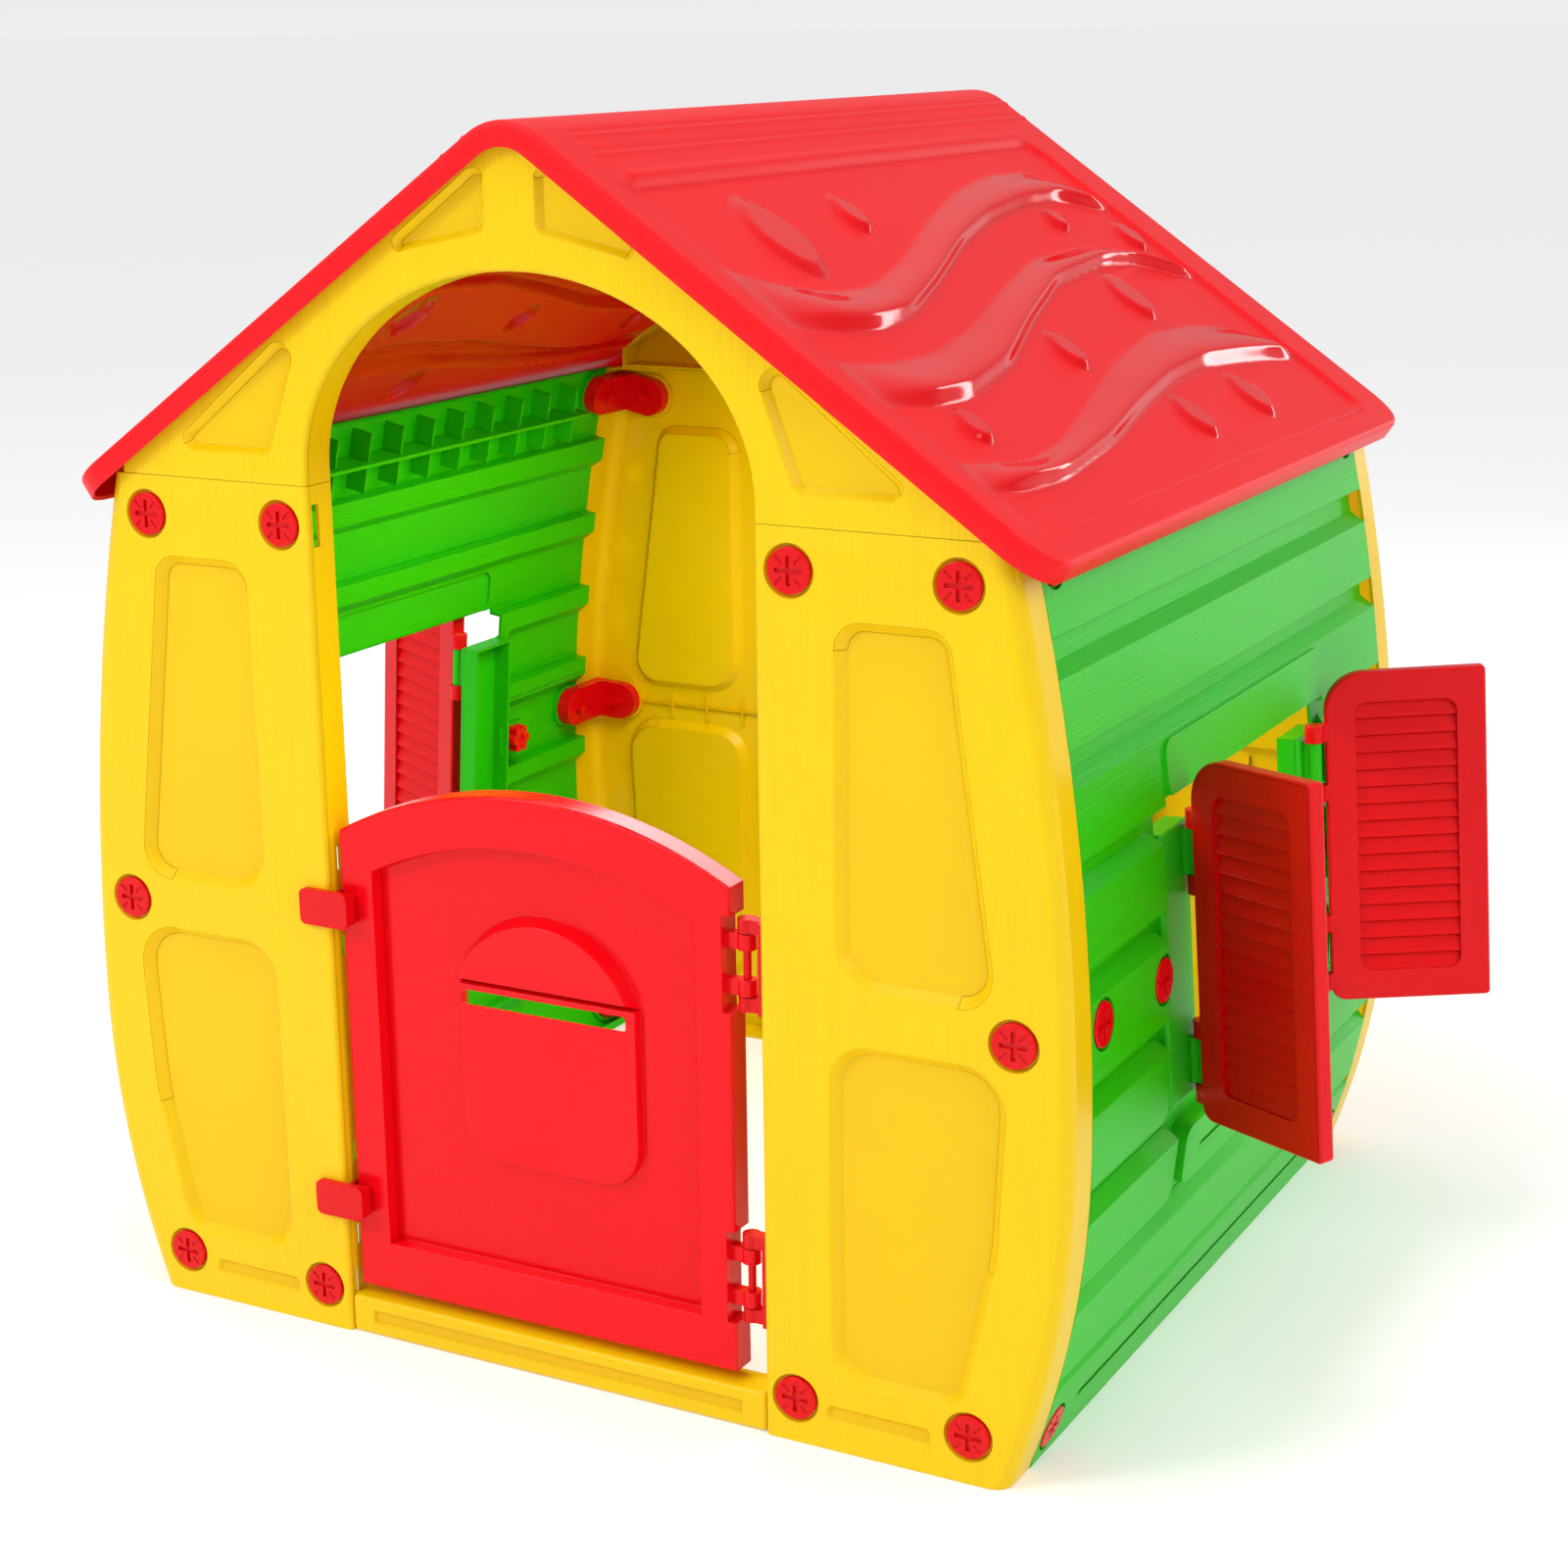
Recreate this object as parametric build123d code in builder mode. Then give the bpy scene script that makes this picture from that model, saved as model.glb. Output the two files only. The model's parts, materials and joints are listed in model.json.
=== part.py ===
from build123d import *
import os
from math import cos, radians, sin, sqrt, tan

os.makedirs("parts", exist_ok=True)

# A child's plastic playhouse in millimetres: +Z up, base on Z = 0, doorway facing -Y,
# origin on the ground under the middle of the house.

# ---------------------------------------------------------------- driving dimensions
house_depth = 880.0
half_depth = house_depth / 2
skin = 3.0
base_half_width = 440.0
widest_half_width = 491.0
widest_height = 290.0
joint_height = 784.0
joint_half_width = 433.0

piece_gap = 0.3
overlap = 0.01

# Yellow end panels
doorway_half_width = 217.0
panel_depth = 35.0
flange_depth = 47.0
corner_radius = 16.0
pressing_slope = 42.0
screw_dish_radius = 22.0
screw_dish_depth = 4.0
boss_back = 7.0
tab_half_width = 18.0
tab_thickness = 4.0
arch_half_width = 416.0
arch_spring_height = 796.0
arch_rise = 175.0
sill_height = 36.0

# Roof
roof_angle = 34.9
roof_apex = 1102.6
ridge_radius = 58.0
eave_half_width = 478.0
roof_half_length = 450.0
roof_skin = 4.0
roof_lip = 22.0
tooth_count = 12
tooth_length = 12.0
relief_height = 5.0
oval_turn = -8.0

# Green side walls
wall_half_length = 392.5
seam_height = 428.0
groove_depth = 13.0
bevel_height = 12.0
plank_tops = [671.0, 586.0, 499.0, 414.0, 318.0, 226.0, 146.0, 73.0]
groove_tops = [704.0, 616.0, 529.0, 443.0, 346.0, 258.0, 170.0, 84.0]
window_bottom = 250.0
window_top = 536.0
window_half_length = 209.0
side_plank_end = 220.0
plank_corner_radius = 14.0
header_top = 583.0
header_half_length = 205.0
sill_pad_half_length = 174.0
shelf_height = 747.0
shelf_depth = 30.0
shelf_half_length = 326.0
shelf_rib_pitch = 54.5
shelf_rib_count = 12
shelf_rib_height = 62.0

# Shutters and their hinges
hinge_x = 494.3
hinge_y = 160.5
hinge_z = 390.0
hinge_tilt = 3.9
shutter_width = 149.5
shutter_bottom = -146.0
shutter_height = 321.0
shutter_thickness = 15.0
shutter_edge = 10.0
shutter_outer_face = 13.7
shutter_hinge_levels = [-98.0, 89.0]
pin_radius = 3.5
pin_clearance = 0.06
post_face = -11.0
post_bottom = -128.0
post_top = 114.5
post_back = -53.0
post_front = 12.5
post_depth = 22.0
post_foot = 256.0
knuckle_radius = 6.5
knuckle_half_height = 20.5
pin_half_height = 36.0
louvre_count = 16
open_angles = {"right_front": 120, "right_rear": 114, "left_front": 118, "left_rear": 114}

# Door
door_left = -210.0
door_right = 184.0
door_bottom = 45.0
door_shoulder = 479.0
door_apex = 530.0
door_face = 10.0
door_thickness = 25.0
door_recess_depth = 12.0
plaque_height = 8.0
hood_height = 14.0
door_hinge_plate = 210.0
door_pivot = (194.0, -half_depth + 22.0)
door_hinge_levels = [132.0, 412.0]
door_hinge_height = 80.0
stop_levels = [131.0, 409.0]

# Fasteners and corner brackets
screw_head_radius = 19.0
screw_radius = 5.0
screw_hole_radius = 5.4
screw_length = 26.0
bracket_height = 42.0
bracket_thickness = 14.0
bracket_corner = 7.2
bracket_bore_radius = 5.05
screw_head_height = 5.0
wall_screw_y = 367.0
bracket_wall_levels = [28.0, 390.0, 759.0]
bracket_screw_offset = 46.0
extra_screw_y = 232.0
extra_screw_level = 385.0


# ---------------------------------------------------------------- shared geometry
def arc_radius(narrow_half_width, rise):
    """Radius of the side outline between its widest point and a narrower one."""
    inset = widest_half_width - narrow_half_width
    return (inset**2 + rise**2) / (2 * inset)


upper_radius = arc_radius(joint_half_width, joint_height - widest_height)
lower_radius = arc_radius(base_half_width, widest_height)


def half_width(z):
    """Outer half width of the house at a height."""
    radius = lower_radius if z < widest_height else upper_radius
    return widest_half_width - radius + sqrt(radius**2 - (z - widest_height) ** 2)


def wall_plane(z, inset=0.0):
    """Plane on the right wall's surface: x along the house, y up the wall, z outwards."""
    radius = lower_radius if z < widest_height else upper_radius
    normal = Vector(half_width(z) - widest_half_width + radius, 0, z - widest_height).normalized()
    origin = Vector(half_width(z), 0, z) - normal * inset
    return Plane(origin=origin, x_dir=(0, 1, 0), z_dir=normal)


def front_plane(inset=0.0):
    """Plane parallel to the front face: x to the right, y up, z out of the house."""
    return Plane(origin=(0, inset - half_depth, 0), x_dir=(1, 0, 0), z_dir=(0, -1, 0))


def side_arcs(inset=0.0):
    """The two arcs of the barrel-shaped side outline."""
    widest = (widest_half_width - inset, widest_height)
    TangentArc(widest, (joint_half_width - inset, joint_height), tangent=(0, 1))
    TangentArc(widest, (base_half_width - inset, 0), tangent=(0, -1))


def roof_height(x, drop=0.0):
    """Height of the roof slope over x, drop measured square to the slope."""
    return roof_apex - x * tan(radians(roof_angle)) - drop / cos(radians(roof_angle))


hinge_plane = Plane(
    origin=(hinge_x, -hinge_y, hinge_z),
    x_dir=(cos(radians(hinge_tilt)), 0, sin(radians(hinge_tilt))),
    z_dir=(-sin(radians(hinge_tilt)), 0, cos(radians(hinge_tilt))),
)


def bracket_screw_point(level):
    """Front view place of the panel screw that holds the corner bracket of a wall level."""
    place = wall_plane(level, bracket_screw_offset).origin
    return (place.X, place.Z)


inner_screws = [(248, 749), (246, 40)]
panel_screws = [bracket_screw_point(level) for level in bracket_wall_levels] + inner_screws


def turned(part):
    """The same part on the opposite side of the house."""
    return part.rotate(Axis.Z, 180)


def save(part, name):
    """Label a part and write it to its own file."""
    part.label = name
    export_step(part, f"parts/{name}.step")


# ---------------------------------------------------------------- yellow end panels
def rounded_polygon(points, radii):
    """Closed outline with each corner rounded by its own radius."""
    with BuildSketch() as outline:
        with BuildLine():
            FilletPolyline(*points, radius=radii, close=True)
        make_face()
    return outline.sketch


def panel_outline():
    """Outline of one yellow panel beside the doorway."""
    with BuildSketch() as outline:
        with BuildLine():
            side_arcs()
            Polyline((joint_half_width, joint_height), (doorway_half_width, joint_height),
                     (doorway_half_width, 0), (base_half_width, 0))
        make_face()
    return outline.sketch


def flange_outline():
    """The strip of the panel's outline that forms its deep side flange."""
    strip = 4 * skin
    with BuildSketch() as outline:
        with BuildLine():
            side_arcs()
            side_arcs(strip)
            Line((joint_half_width, joint_height), (joint_half_width - strip, joint_height))
            Line((base_half_width, 0), (base_half_width - strip, 0))
        make_face()
    return outline.sketch


def doorway_outline(grow=0.0):
    """The doorway with its elliptical head, grown outwards by an amount."""
    with BuildSketch() as outline:
        with Locations((0, arch_spring_height)):
            Ellipse(doorway_half_width + grow, arch_rise + grow)
            Rectangle(2 * (doorway_half_width + grow), arch_spring_height + min(grow, 0),
                      align=(Align.CENTER, Align.MAX))
    return outline.sketch


def gable_outline(inset=0.0):
    """Outline of the yellow arch piece in the gable, shrunk by an inset."""
    half = arch_half_width - inset
    drop = roof_skin + piece_gap + inset
    base = joint_height + piece_gap + inset
    with BuildSketch() as outline:
        with BuildLine():
            slopes = FilletPolyline((-half, roof_height(half, drop)), (0, roof_height(0, drop)),
                                    (half, roof_height(half, drop)), radius=ridge_radius - drop)
            Polyline(slopes @ 1, (half, base), (-half, base), slopes @ 0)
        make_face()
        add(doorway_outline(inset), mode=Mode.SUBTRACT)
    return outline.sketch


# Each pressing is an outline and how deep it is pressed into the skin
panel_pressings = [
    (rounded_polygon([(287, 713), (386, 713), (429, 411), (286, 411)], [24, 22, 30, 40]), 9),
    (rounded_polygon([(280, 365), (438, 365), (430, 205), (400, 64), (280, 64)], [36, 40, 200, 26, 36]), 9),
    (rounded_polygon([(275, 25), (372, 25), (372, 41), (275, 41)], [6, 6, 6, 6]), 4),
]
gable_pressings = []
for side in (1, -1):
    upper_corners = [(side * x, z) for x, z in [(24, 1052), (38, 1052), (138, 978), (24, 1002)]]
    lower_corners = [(side * x, z) for x, z in [(208, 934), (350, 820), (340, 808), (254, 808)]]
    gable_pressings.append((rounded_polygon(upper_corners, [7, 9, 7, 10]), 6))
    gable_pressings.append((rounded_polygon(lower_corners, [14, 8, 8, 14]), 7))
infill_pressings = [
    (rounded_polygon([(-170, 760), (170, 760), (170, 420), (-170, 420)], [60, 60, 36, 36]), 9),
    (rounded_polygon([(-170, 360), (170, 360), (170, 60), (-170, 60)], [36, 36, 36, 36]), 9),
    (rounded_polygon([(-150, 815), (0, 960), (150, 815)], [30, 90, 30]), 9),
]


def press(pressings, grow=0.0, inset=0.0):
    """Tapered solids of the pressings, grown and set in for the back of the skin."""
    with BuildPart() as solids:
        for outline, depth in pressings:
            with BuildSketch(front_plane(inset)):
                offset(outline, amount=grow) if grow else add(outline)
            extrude(amount=-depth, taper=pressing_slope)
    return solids.part


def pressed_hollow(inner_outline, pressings, hollow_radius=0.0):
    """The space behind a panel's skin, less the backs of its pressings."""
    with BuildPart() as hollow:
        with BuildSketch(front_plane(skin)):
            add(inner_outline)
        extrude(amount=-2 * flange_depth)
        if hollow_radius:
            face_edges = hollow.faces().sort_by(Axis.Y)[0].edges()
            fillet(face_edges.filter_by(GeomType.CIRCLE), radius=hollow_radius)
        add(press(pressings, grow=skin, inset=skin - overlap), mode=Mode.SUBTRACT)
    return hollow.part


def screw_seats(points):
    """Shallow dishes and clearance holes for the screws through a yellow panel."""
    with BuildPart() as seats:
        with BuildSketch(front_plane()):
            with Locations(*points):
                Circle(screw_dish_radius)
        extrude(amount=-screw_dish_depth, taper=20)
        with BuildSketch(front_plane()):
            with Locations(*points):
                Circle(screw_hole_radius)
        extrude(amount=-panel_depth)
    return seats.part


def screw_bosses(points):
    """Thickened skin behind the screw dishes."""
    with BuildPart() as bosses:
        with BuildSketch(front_plane(0.5 * skin)):
            with Locations(*points):
                Circle(screw_dish_radius + skin)
        extrude(amount=-boss_back + 0.5 * skin)
    return bosses.part


def grid_ribs(x_low, x_high, z_low, z_high, pitch=47):
    """Grid of stiffening ribs on the back of a panel."""
    middle = ((x_low + x_high) / 2, (z_low + z_high) / 2)
    with BuildPart() as ribs:
        with BuildSketch(front_plane(0.5 * skin)):
            with Locations(middle):
                Rectangle(x_high - x_low, 2)
                with GridLocations(pitch, 1, int((x_high - x_low) // pitch), 1):
                    Rectangle(2, z_high - z_low)
        extrude(amount=-2 * skin)
    return ribs.part


def tab(x, z, reach, inset):
    """Screw tab that runs sideways behind a yellow panel, with a hole at (x, z)."""
    with BuildPart() as plate:
        with BuildSketch(front_plane(inset)):
            with Locations((x, z)):
                Rectangle(2 * tab_half_width, 2 * tab_half_width)
            with Locations((x + reach[0] / 2, z + reach[1] / 2)):
                Rectangle(2 * tab_half_width + abs(reach[0]), 2 * tab_half_width + abs(reach[1]))
            with Locations((x, z)):
                Circle(screw_radius + piece_gap, mode=Mode.SUBTRACT)
        extrude(amount=-tab_thickness)
    return plate.part


def tab_pair(x, z, reach, inset):
    """A screw tab and its mirror image."""
    plate = tab(x, z, reach, inset)
    return [plate, mirror(plate, about=Plane.YZ)]


(top_x, top_z), (low_x, low_z) = inner_screws
first_tab_inset = boss_back + piece_gap
second_tab_inset = first_tab_inset + tab_thickness + piece_gap
tab_slot_depth = 2 * (tab_thickness + piece_gap) + piece_gap
panel_hollow = pressed_hollow(offset(panel_outline(), amount=-skin), panel_pressings, corner_radius - skin)

with BuildPart() as front_right_panel:
    with BuildSketch(front_plane()):
        add(panel_outline())
    extrude(amount=-panel_depth)
    with BuildSketch(front_plane()):
        add(flange_outline())
    extrude(amount=-flange_depth)
    face_edges = front_right_panel.faces().sort_by(Axis.Y)[0].edges()
    fillet(face_edges.filter_by(GeomType.CIRCLE), radius=corner_radius)
    face_edges = front_right_panel.faces().sort_by(Axis.Y)[0].edges()
    fillet(face_edges.filter_by(Axis.Z).sort_by(Axis.X)[0], radius=5)
    add(press(panel_pressings), mode=Mode.SUBTRACT)
    add(panel_hollow, mode=Mode.SUBTRACT)
    add(screw_bosses(panel_screws))
    add(grid_ribs(240, 420, 372, 404))
    add(screw_seats(panel_screws), mode=Mode.SUBTRACT)
    # Slots in the top and inner edges for the tabs of the neighbouring pieces
    with BuildSketch(front_plane(first_tab_inset - piece_gap)):
        with Locations((top_x, joint_height)):
            Rectangle(2 * tab_half_width + 1, 4 * skin)
        with Locations((doorway_half_width, low_z), (doorway_half_width, top_z)):
            Rectangle(4 * skin, 2 * tab_half_width + 1)
    extrude(amount=-tab_slot_depth, mode=Mode.SUBTRACT)
    # Small slots beside the door stops
    with BuildSketch(Plane.YZ.offset(doorway_half_width - skin)):
        for level in stop_levels:
            with Locations((door_face + 8 - half_depth, level)):
                with GridLocations(1, 82, 1, 2):
                    Rectangle(5, 22)
    extrude(amount=3 * skin, mode=Mode.SUBTRACT)

front_left_panel = mirror(front_right_panel.part, about=Plane.YZ)

gable_hollow = pressed_hollow(gable_outline(skin), gable_pressings)
with BuildPart() as front_arch:
    with BuildSketch(front_plane()):
        add(gable_outline())
    extrude(amount=-panel_depth)
    face_edges = front_arch.faces().sort_by(Axis.Y)[0].edges()
    fillet(face_edges.filter_by(GeomType.ELLIPSE), radius=5)
    add(press(gable_pressings), mode=Mode.SUBTRACT)
    add(gable_hollow, mode=Mode.SUBTRACT)
    for plate in tab_pair(top_x, top_z, (0, 35), first_tab_inset):
        add(plate)

with BuildPart() as front_sill:
    with BuildSketch(front_plane(2)):
        with Locations((0, sill_height / 2)):
            RectangleRounded(2 * doorway_half_width - 2 * piece_gap, sill_height, 5)
    extrude(amount=-panel_depth + 2)
    sill_face = front_sill.faces().sort_by(Axis.Y)[0]
    fillet(sill_face.edges(), radius=4)
    with BuildSketch(front_plane(2)):
        with Locations((0, sill_height / 2)):
            Rectangle(386, 13)
    extrude(amount=-3, taper=30, mode=Mode.SUBTRACT)
    with BuildSketch(front_plane(2 + 2 * skin)):
        with Locations((0, sill_height / 2 - skin)):
            Rectangle(2 * doorway_half_width - 4 * skin, sill_height)
    extrude(amount=-2 * panel_depth, mode=Mode.SUBTRACT)
    for plate in tab_pair(low_x, low_z, (-30, 0), first_tab_inset):
        add(plate)
    # The tabs stay below the door between the two front panels
    with Locations((0, -half_depth, sill_height)):
        Box(2 * doorway_half_width, 2 * flange_depth, sill_height,
            align=(Align.CENTER, Align.CENTER, Align.MIN), mode=Mode.SUBTRACT)

infill_hollow = pressed_hollow(doorway_outline(-piece_gap - skin), infill_pressings)
with BuildPart() as back_infill:
    with BuildSketch(front_plane()):
        add(doorway_outline(-piece_gap))
    extrude(amount=-panel_depth + skin)
    add(press(infill_pressings), mode=Mode.SUBTRACT)
    add(infill_hollow, mode=Mode.SUBTRACT)
    for plate in tab_pair(low_x, low_z, (-30, 0), first_tab_inset):
        add(plate)
    for plate in tab_pair(top_x, top_z, (-32, 0), second_tab_inset):
        add(plate)

save(front_right_panel.part, "front_right_panel")
save(front_left_panel, "front_left_panel")
save(front_arch.part, "front_arch")
save(front_sill.part, "front_sill")
save(turned(front_right_panel.part), "back_left_panel")
save(turned(front_left_panel), "back_right_panel")
save(turned(front_arch.part), "back_arch")
save(turned(back_infill.part), "back_infill_panel")


# ---------------------------------------------------------------- green side walls
def profile_plane(z, y):
    """Plane square to the house's length on the right wall: x up the wall, y outwards."""
    return Plane(origin=(half_width(z), y, z), x_dir=wall_plane(z).y_dir, z_dir=(0, 1, 0))


def plank_solid(z_low, z_high, y_start, y_end, inset=0.0):
    """One raised plank with a sloped top edge; an inset gives the hollow behind its skin."""
    middle = (z_low + z_high) / 2
    lean = wall_plane(middle).z_dir.X
    low = (z_low - middle) / lean + inset
    high = (z_high - middle) / lean
    slope = groove_depth / bevel_height
    shift = inset * sqrt(1 + slope**2)
    root = groove_depth + inset
    back = groove_depth + (4 * skin if inset else 1)
    top_front = high - (shift - inset) / slope
    top_back = high + (root - shift) / slope
    with BuildPart() as plank:
        with BuildSketch(profile_plane(middle, y_start)):
            with BuildLine():
                Polyline((low, -inset), (top_front, -inset), (top_back, -root), (top_back, -back),
                         (low, -back), close=True)
            make_face()
        extrude(amount=y_end - y_start)
        with BuildSketch(wall_plane(middle)):
            with Locations(((y_start + y_end) / 2, (low + top_back) / 2)):
                RectangleRounded(y_end - y_start - 2 * inset, top_back - low, plank_corner_radius - inset)
        extrude(amount=2 * back, both=True, mode=Mode.INTERSECT)
    return plank.part


def plank_rows():
    """The planks of the wall as (bottom, top, start, end), split beside and below the window."""
    past_end = wall_half_length + 3 * plank_corner_radius
    rows = []
    for z_low, z_high in zip(groove_tops + [0.0], [joint_height] + plank_tops):
        if window_bottom < z_high < window_top - 10:
            split = side_plank_end
        elif z_high == plank_tops[5]:
            split = sill_pad_half_length + plank_corner_radius
        else:
            rows.append((z_low, z_high, -past_end, past_end))
            continue
        rows.append((z_low, z_high, -past_end, -split))
        rows.append((z_low, z_high, split, past_end))
    return rows


def pad_solid(z_low, z_high, half_length, raised, inset=0.0):
    """Raised pad above or below the window; an inset gives the hollow behind its skin."""
    middle = (z_low + z_high) / 2
    with BuildPart() as pad:
        with BuildSketch(wall_plane(middle, inset - raised)):
            RectangleRounded(2 * (half_length - inset), z_high - z_low - 2 * inset,
                             plank_corner_radius - inset)
        extrude(amount=-groove_depth - raised - (4 * skin if inset else 1))
    return pad.part


def hinge_post(inset=0.0):
    """Straight upright beside the window, square to its hinge line; an inset gives its hollow."""
    with BuildPart() as post:
        with BuildSketch(hinge_plane.offset(post_bottom + inset)):
            with Locations((post_face - inset, (post_back + post_front) / 2)):
                Rectangle(post_depth, post_front - post_back - 2 * inset, align=(Align.MAX, Align.CENTER))
        extrude(amount=post_top - post_bottom - 2 * inset)
        if not inset:
            fillet(post.faces().sort_by(Axis.X)[-1].edges(), radius=4)
    return post.part


def post_knuckles():
    """The fixed knuckles of the shutter hinges with their pins."""
    with BuildPart() as knuckles:
        for level in shutter_hinge_levels:
            with BuildSketch(hinge_plane.offset(level - knuckle_half_height)):
                Circle(knuckle_radius)
                with Locations((0, 0)):
                    Rectangle(-post_face + 1, knuckle_radius * 1.4, align=(Align.MAX, Align.CENTER))
            extrude(amount=2 * knuckle_half_height)
            with BuildSketch(hinge_plane.offset(level - pin_half_height)):
                Circle(pin_radius)
            extrude(amount=2 * pin_half_height)
    return knuckles.part


def joining_tab():
    """Tab behind the lower wall that the extra wall screw clamps."""
    with BuildPart() as plate:
        with BuildSketch(wall_plane(extra_screw_level, groove_depth + skin + piece_gap)):
            with Locations((-extra_screw_y - tab_half_width, 0)):
                Rectangle(extra_screw_y + tab_half_width - window_half_length, 2 * tab_half_width,
                          align=(Align.MIN, Align.CENTER))
            with Locations((-extra_screw_y, 0)):
                Circle(screw_radius + piece_gap, mode=Mode.SUBTRACT)
        extrude(amount=-tab_thickness)
    return plate.part


def wall_cylinders(radius, start, end, levels=None):
    """Cylinders square to the wall at its screws, between two depths below its face."""
    with BuildPart() as cylinders:
        for level in levels or bracket_wall_levels + [extra_screw_level]:
            reach = extra_screw_y if level == extra_screw_level else wall_screw_y
            with BuildSketch(wall_plane(level, start)):
                with GridLocations(2 * reach, 1, 2, 1):
                    Circle(radius)
            extrude(amount=start - end)
    return cylinders.part


def shelf_comb():
    """Ribbed rail along the inside of the wall's top band."""
    with BuildPart() as comb:
        with BuildSketch(wall_plane(shelf_height, 0.5 * skin)):
            Rectangle(2 * shelf_half_length, 4)
        extrude(amount=-shelf_depth)
        with BuildSketch(wall_plane(shelf_height, 0.5 * skin)):
            with GridLocations(shelf_rib_pitch, 1, shelf_rib_count, 1):
                Rectangle(2.5, shelf_rib_height)
        extrude(amount=-shelf_depth + 6)
    return comb.part


planks = [plank_solid(*row) for row in plank_rows()]
plank_hollows = [plank_solid(*row, inset=skin) for row in plank_rows()]
pads = [(window_top - skin, header_top, header_half_length, 3), (176, 231, sill_pad_half_length, 3)]

with BuildPart() as right_wall:
    with BuildSketch(Plane.XZ):
        with BuildLine():
            side_arcs(groove_depth)
            side_arcs(groove_depth + skin)
            Line((joint_half_width - groove_depth, joint_height),
                 (joint_half_width - groove_depth - skin, joint_height))
            Line((base_half_width - groove_depth, 0), (base_half_width - groove_depth - skin, 0))
        make_face()
    extrude(amount=wall_half_length, both=True)
    for plank in planks:
        add(plank)
    for pad in pads:
        add(pad_solid(*pad))
    for plank_hollow in plank_hollows:
        add(plank_hollow, mode=Mode.SUBTRACT)
    for pad in pads:
        add(pad_solid(*pad, inset=skin), mode=Mode.SUBTRACT)
    add(wall_cylinders(screw_dish_radius + skin, 0.5 * skin, boss_back))
    add(wall_cylinders(2 * screw_radius, skin, groove_depth + skin, [extra_screw_level]))
    with Locations((widest_half_width, 0, 0)):
        Box(400, 2 * wall_half_length, joint_height + 2, align=(Align.CENTER, Align.CENTER, Align.MIN),
            mode=Mode.INTERSECT)
    with Locations((widest_half_width, 0, window_bottom)):
        Box(100, 2 * window_half_length, window_top - window_bottom,
            align=(Align.CENTER, Align.CENTER, Align.MIN), mode=Mode.SUBTRACT)
    add(wall_cylinders(screw_dish_radius, -skin, screw_dish_depth), mode=Mode.SUBTRACT)
    add(wall_cylinders(screw_hole_radius, -skin, 2 * groove_depth), mode=Mode.SUBTRACT)
    # Long shallow grooves in the bottom band and in the pad under the window
    with BuildSketch(wall_plane(34)):
        SlotOverall(640, 14)
    extrude(amount=-1.2, mode=Mode.SUBTRACT)
    with BuildSketch(wall_plane(201, -3)):
        SlotOverall(272, 11)
    extrude(amount=-1.5, mode=Mode.SUBTRACT)

front_post = hinge_post()
front_post_hollow = hinge_post(skin)
front_knuckles = post_knuckles()
front_tab = joining_tab()

with BuildPart() as right_wall_lower:
    add(right_wall.part)
    with Locations((widest_half_width, 0, 0)):
        Box(400, house_depth, seam_height - piece_gap, align=(Align.CENTER, Align.CENTER, Align.MIN),
            mode=Mode.INTERSECT)
    with Locations((widest_half_width, 0, post_foot)):
        Box(100, 2 * (window_half_length + 4.5), seam_height, align=(Align.CENTER, Align.CENTER, Align.MIN),
            mode=Mode.SUBTRACT)

with BuildPart() as right_wall_upper:
    add(right_wall.part)
    with Locations((widest_half_width, 0, seam_height)):
        Box(400, house_depth, seam_height, align=(Align.CENTER, Align.CENTER, Align.MIN), mode=Mode.INTERSECT)
    for piece in (front_post, mirror(front_post, about=Plane.XZ)):
        add(piece)
    for piece in (front_post_hollow, mirror(front_post_hollow, about=Plane.XZ)):
        add(piece, mode=Mode.SUBTRACT)
    for piece in (front_knuckles, front_tab):
        add(piece)
        add(mirror(piece, about=Plane.XZ))
    add(shelf_comb())

save(right_wall_lower.part, "right_wall_lower")
save(right_wall_upper.part, "right_wall_upper")
save(turned(right_wall_lower.part), "left_wall_lower")
save(turned(right_wall_upper.part), "left_wall_upper")


# ---------------------------------------------------------------- roof
slope_plane = Plane(
    origin=(0, 0, roof_apex),
    x_dir=(0, 1, 0),
    z_dir=(sin(radians(roof_angle)), 0, cos(radians(roof_angle))),
)


def roof_profile(inset, lip):
    """Cross-section of the roof between its outer slope, set in by an inset, and a lower one."""
    eave = eave_half_width - inset
    top = roof_height(eave, inset)
    with BuildSketch(Plane.XZ) as profile:
        with BuildLine():
            upper = FilletPolyline((-eave, top), (0, roof_height(0, inset)), (eave, top),
                                   radius=ridge_radius - inset)
            lower = FilletPolyline((-eave, roof_height(eave, lip)), (0, roof_height(0, lip)),
                                   (eave, roof_height(eave, lip)), radius=ridge_radius - roof_lip)
            Line(upper @ 0, lower @ 0)
            Line(upper @ 1, lower @ 1)
        make_face()
    return profile.sketch


def wave_outline(upper_edge, lower_edge):
    """Outline of one wave between two smooth edges given as (along, down the slope)."""
    with BuildSketch() as outline:
        with BuildLine():
            top = Spline(*[(along, -down) for along, down in upper_edge])
            bottom = Spline(*[(along, -down) for along, down in lower_edge])
            Line(top @ 0, bottom @ 0)
            Line(top @ 1, bottom @ 1)
        make_face()
    return outline.sketch


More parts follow.
